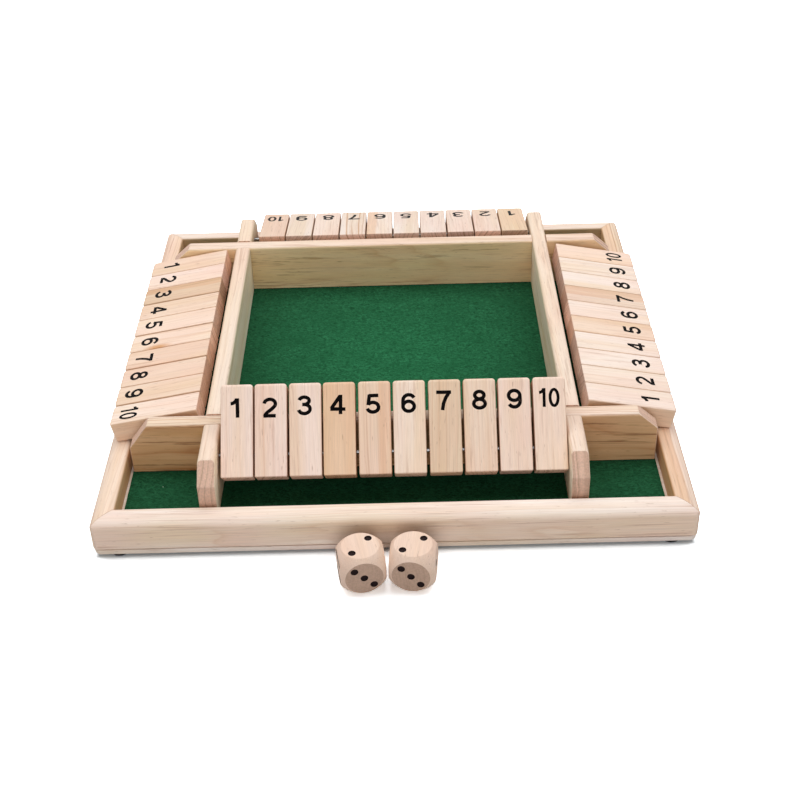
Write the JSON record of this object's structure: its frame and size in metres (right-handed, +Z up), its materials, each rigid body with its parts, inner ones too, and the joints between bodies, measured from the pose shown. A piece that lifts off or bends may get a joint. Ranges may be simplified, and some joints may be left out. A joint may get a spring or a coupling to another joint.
{
  "type": "shut the box game",
  "caption": "Square wooden shut the box game: felt-lined tray with moulded rails, a lapped wall frame, numbered tiles that swing on steel rods along each side, and dice.",
  "frame": {"origin": "on the table's surface, under the middle of the ground that the tray and its dice cover", "axes": "+Z up from the table, +Y from the dice to the back of the tray, +X to the right"},
  "size_m": [0.3414, 0.3778, 0.0713],
  "materials": {
    "rail_wood": "unvarnished moulded pine, satin",
    "wall_wood": "unvarnished planed pine, satin",
    "board_wood": "bare pine, satin",
    "tile_wood": "unvarnished planed pine with black printed numbers",
    "die_wood": "sanded beech with black drilled pips",
    "felt": "green felt, matt",
    "steel": "bright drawn steel wire",
    "rubber": "matt black rubber"
  },
  "bodies": {
    "tray": {"base_board": "board_wood", "felt_lining": "felt", "foot_back_left": "rubber", "foot_back_right": "rubber", "foot_front_left": "rubber", "foot_front_right": "rubber", "pivot_rod_back": "steel", "pivot_rod_front": "steel", "pivot_rod_left": "steel", "pivot_rod_right": "steel", "rail_back": "rail_wood", "rail_front": "rail_wood", "rail_left": "rail_wood", "rail_right": "rail_wood", "wall_back": "wall_wood", "wall_front": "wall_wood", "wall_left": "wall_wood", "wall_right": "wall_wood"},
    "die_left": {"die_left": "die_wood"},
    "die_right": {"die_right": "die_wood"},
    "tile_back_01": {"tile_back_01": "tile_wood"},
    "tile_back_02": {"tile_back_02": "tile_wood"},
    "tile_back_03": {"tile_back_03": "tile_wood"},
    "tile_back_04": {"tile_back_04": "tile_wood"},
    "tile_back_05": {"tile_back_05": "tile_wood"},
    "tile_back_06": {"tile_back_06": "tile_wood"},
    "tile_back_07": {"tile_back_07": "tile_wood"},
    "tile_back_08": {"tile_back_08": "tile_wood"},
    "tile_back_09": {"tile_back_09": "tile_wood"},
    "tile_back_10": {"tile_back_10": "tile_wood"},
    "tile_front_01": {"tile_front_01": "tile_wood"},
    "tile_front_02": {"tile_front_02": "tile_wood"},
    "tile_front_03": {"tile_front_03": "tile_wood"},
    "tile_front_04": {"tile_front_04": "tile_wood"},
    "tile_front_05": {"tile_front_05": "tile_wood"},
    "tile_front_06": {"tile_front_06": "tile_wood"},
    "tile_front_07": {"tile_front_07": "tile_wood"},
    "tile_front_08": {"tile_front_08": "tile_wood"},
    "tile_front_09": {"tile_front_09": "tile_wood"},
    "tile_front_10": {"tile_front_10": "tile_wood"},
    "tile_left_01": {"tile_left_01": "tile_wood"},
    "tile_left_02": {"tile_left_02": "tile_wood"},
    "tile_left_03": {"tile_left_03": "tile_wood"},
    "tile_left_04": {"tile_left_04": "tile_wood"},
    "tile_left_05": {"tile_left_05": "tile_wood"},
    "tile_left_06": {"tile_left_06": "tile_wood"},
    "tile_left_07": {"tile_left_07": "tile_wood"},
    "tile_left_08": {"tile_left_08": "tile_wood"},
    "tile_left_09": {"tile_left_09": "tile_wood"},
    "tile_left_10": {"tile_left_10": "tile_wood"},
    "tile_right_01": {"tile_right_01": "tile_wood"},
    "tile_right_02": {"tile_right_02": "tile_wood"},
    "tile_right_03": {"tile_right_03": "tile_wood"},
    "tile_right_04": {"tile_right_04": "tile_wood"},
    "tile_right_05": {"tile_right_05": "tile_wood"},
    "tile_right_06": {"tile_right_06": "tile_wood"},
    "tile_right_07": {"tile_right_07": "tile_wood"},
    "tile_right_08": {"tile_right_08": "tile_wood"},
    "tile_right_09": {"tile_right_09": "tile_wood"},
    "tile_right_10": {"tile_right_10": "tile_wood"}
  },
  "joints": [
    {"name": "tile_front_01_swing", "type": "hinge", "parent": "tray", "child": "tile_front_01", "pos_m": [-0.08891, -0.11027, 0.0392], "axis": [1, 0, 0], "range_deg": [0, 146.8]},
    {"name": "tile_front_02_swing", "type": "hinge", "parent": "tray", "child": "tile_front_02", "pos_m": [-0.06944, -0.11027, 0.0392], "axis": [1, 0, 0], "range_deg": [0, 146.8]},
    {"name": "tile_front_03_swing", "type": "hinge", "parent": "tray", "child": "tile_front_03", "pos_m": [-0.04965, -0.11027, 0.0392], "axis": [1, 0, 0], "range_deg": [0, 146.8]},
    {"name": "tile_front_04_swing", "type": "hinge", "parent": "tray", "child": "tile_front_04", "pos_m": [-0.03018, -0.11027, 0.0392], "axis": [1, 0, 0], "range_deg": [0, 146.8]},
    {"name": "tile_front_05_swing", "type": "hinge", "parent": "tray", "child": "tile_front_05", "pos_m": [-0.00995, -0.11027, 0.0392], "axis": [1, 0, 0], "range_deg": [0, 146.8]},
    {"name": "tile_front_06_swing", "type": "hinge", "parent": "tray", "child": "tile_front_06", "pos_m": [0.00995, -0.11027, 0.0392], "axis": [1, 0, 0], "range_deg": [0, 146.8]},
    {"name": "tile_front_07_swing", "type": "hinge", "parent": "tray", "child": "tile_front_07", "pos_m": [0.03029, -0.11027, 0.0392], "axis": [1, 0, 0], "range_deg": [0, 146.8]},
    {"name": "tile_front_08_swing", "type": "hinge", "parent": "tray", "child": "tile_front_08", "pos_m": [0.0503, -0.11027, 0.0392], "axis": [1, 0, 0], "range_deg": [0, 146.8]},
    {"name": "tile_front_09_swing", "type": "hinge", "parent": "tray", "child": "tile_front_09", "pos_m": [0.0702, -0.11027, 0.0392], "axis": [1, 0, 0], "range_deg": [0, 146.8]},
    {"name": "tile_front_10_swing", "type": "hinge", "parent": "tray", "child": "tile_front_10", "pos_m": [0.09021, -0.11027, 0.0392], "axis": [1, 0, 0], "range_deg": [0, 146.8]},
    {"name": "tile_right_01_swing", "type": "hinge", "parent": "tray", "child": "tile_right_01", "pos_m": [0.12849, -0.06755, 0.0392], "axis": [0, -1, 0], "range_deg": [0, 146.8]},
    {"name": "tile_right_02_swing", "type": "hinge", "parent": "tray", "child": "tile_right_02", "pos_m": [0.12849, -0.04849, 0.0392], "axis": [0, -1, 0], "range_deg": [0, 146.8]},
    {"name": "tile_right_03_swing", "type": "hinge", "parent": "tray", "child": "tile_right_03", "pos_m": [0.12849, -0.02945, 0.0392], "axis": [0, -1, 0], "range_deg": [0, 146.8]},
    {"name": "tile_right_04_swing", "type": "hinge", "parent": "tray", "child": "tile_right_04", "pos_m": [0.12849, -0.01037, 0.0392], "axis": [0, -1, 0], "range_deg": [0, 146.8]},
    {"name": "tile_right_05_swing", "type": "hinge", "parent": "tray", "child": "tile_right_05", "pos_m": [0.12849, 0.00869, 0.0392], "axis": [0, -1, 0], "range_deg": [0, 146.8]},
    {"name": "tile_right_06_swing", "type": "hinge", "parent": "tray", "child": "tile_right_06", "pos_m": [0.12849, 0.02773, 0.0392], "axis": [0, -1, 0], "range_deg": [0, 146.8]},
    {"name": "tile_right_07_swing", "type": "hinge", "parent": "tray", "child": "tile_right_07", "pos_m": [0.12849, 0.04681, 0.0392], "axis": [0, -1, 0], "range_deg": [0, 146.8]},
    {"name": "tile_right_08_swing", "type": "hinge", "parent": "tray", "child": "tile_right_08", "pos_m": [0.12849, 0.06587, 0.0392], "axis": [0, -1, 0], "range_deg": [0, 146.8]},
    {"name": "tile_right_09_swing", "type": "hinge", "parent": "tray", "child": "tile_right_09", "pos_m": [0.12849, 0.08491, 0.0392], "axis": [0, -1, 0], "range_deg": [0, 146.8]},
    {"name": "tile_right_10_swing", "type": "hinge", "parent": "tray", "child": "tile_right_10", "pos_m": [0.12849, 0.10399, 0.0392], "axis": [0, -1, 0], "range_deg": [0, 146.8]},
    {"name": "tile_back_01_swing", "type": "hinge", "parent": "tray", "child": "tile_back_01", "pos_m": [0.08891, 0.14671, 0.0392], "axis": [1, 0, 0], "range_deg": [0, 146.8]},
    {"name": "tile_back_02_swing", "type": "hinge", "parent": "tray", "child": "tile_back_02", "pos_m": [0.06958, 0.14671, 0.0392], "axis": [1, 0, 0], "range_deg": [0, 146.8]},
    {"name": "tile_back_03_swing", "type": "hinge", "parent": "tray", "child": "tile_back_03", "pos_m": [0.05009, 0.14671, 0.0392], "axis": [1, 0, 0], "range_deg": [0, 146.8]},
    {"name": "tile_back_04_swing", "type": "hinge", "parent": "tray", "child": "tile_back_04", "pos_m": [0.03052, 0.14671, 0.0392], "axis": [1, 0, 0], "range_deg": [0, 146.8]},
    {"name": "tile_back_05_swing", "type": "hinge", "parent": "tray", "child": "tile_back_05", "pos_m": [0.01103, 0.14671, 0.0392], "axis": [1, 0, 0], "range_deg": [0, 146.8]},
    {"name": "tile_back_06_swing", "type": "hinge", "parent": "tray", "child": "tile_back_06", "pos_m": [-0.00846, 0.14671, 0.0392], "axis": [1, 0, 0], "range_deg": [0, 146.8]},
    {"name": "tile_back_07_swing", "type": "hinge", "parent": "tray", "child": "tile_back_07", "pos_m": [-0.02779, 0.14671, 0.0392], "axis": [1, 0, 0], "range_deg": [0, 146.8]},
    {"name": "tile_back_08_swing", "type": "hinge", "parent": "tray", "child": "tile_back_08", "pos_m": [-0.04711, 0.14671, 0.0392], "axis": [1, 0, 0], "range_deg": [0, 146.8]},
    {"name": "tile_back_09_swing", "type": "hinge", "parent": "tray", "child": "tile_back_09", "pos_m": [-0.06644, 0.14671, 0.0392], "axis": [1, 0, 0], "range_deg": [0, 146.8]},
    {"name": "tile_back_10_swing", "type": "hinge", "parent": "tray", "child": "tile_back_10", "pos_m": [-0.08577, 0.14671, 0.0392], "axis": [1, 0, 0], "range_deg": [0, 146.8]},
    {"name": "tile_left_01_swing", "type": "hinge", "parent": "tray", "child": "tile_left_01", "pos_m": [-0.12849, 0.10713, 0.0392], "axis": [0, 1, 0], "range_deg": [0, 146.8]},
    {"name": "tile_left_02_swing", "type": "hinge", "parent": "tray", "child": "tile_left_02", "pos_m": [-0.12849, 0.08803, 0.0392], "axis": [0, 1, 0], "range_deg": [0, 146.8]},
    {"name": "tile_left_03_swing", "type": "hinge", "parent": "tray", "child": "tile_left_03", "pos_m": [-0.12849, 0.06893, 0.0392], "axis": [0, 1, 0], "range_deg": [0, 146.8]},
    {"name": "tile_left_04_swing", "type": "hinge", "parent": "tray", "child": "tile_left_04", "pos_m": [-0.12849, 0.04924, 0.0392], "axis": [0, 1, 0], "range_deg": [0, 146.8]},
    {"name": "tile_left_05_swing", "type": "hinge", "parent": "tray", "child": "tile_left_05", "pos_m": [-0.12849, 0.03014, 0.0392], "axis": [0, 1, 0], "range_deg": [0, 146.8]},
    {"name": "tile_left_06_swing", "type": "hinge", "parent": "tray", "child": "tile_left_06", "pos_m": [-0.12849, 0.01028, 0.0392], "axis": [0, 1, 0], "range_deg": [0, 146.8]},
    {"name": "tile_left_07_swing", "type": "hinge", "parent": "tray", "child": "tile_left_07", "pos_m": [-0.12849, -0.0089, 0.0392], "axis": [0, 1, 0], "range_deg": [0, 146.8]},
    {"name": "tile_left_08_swing", "type": "hinge", "parent": "tray", "child": "tile_left_08", "pos_m": [-0.12849, -0.02867, 0.0392], "axis": [0, 1, 0], "range_deg": [0, 146.8]},
    {"name": "tile_left_09_swing", "type": "hinge", "parent": "tray", "child": "tile_left_09", "pos_m": [-0.12849, -0.04778, 0.0392], "axis": [0, 1, 0], "range_deg": [0, 146.8]},
    {"name": "tile_left_10_swing", "type": "hinge", "parent": "tray", "child": "tile_left_10", "pos_m": [-0.12849, -0.06755, 0.0392], "axis": [0, 1, 0], "range_deg": [0, 146.8]},
    {"name": "die_left_lift", "type": "slide", "parent": "tray", "child": "die_left", "axis": [0, 0, 1], "range_m": [0, 0.08]},
    {"name": "die_right_lift", "type": "slide", "parent": "tray", "child": "die_right", "axis": [0, 0, 1], "range_m": [0, 0.08]}
  ]
}
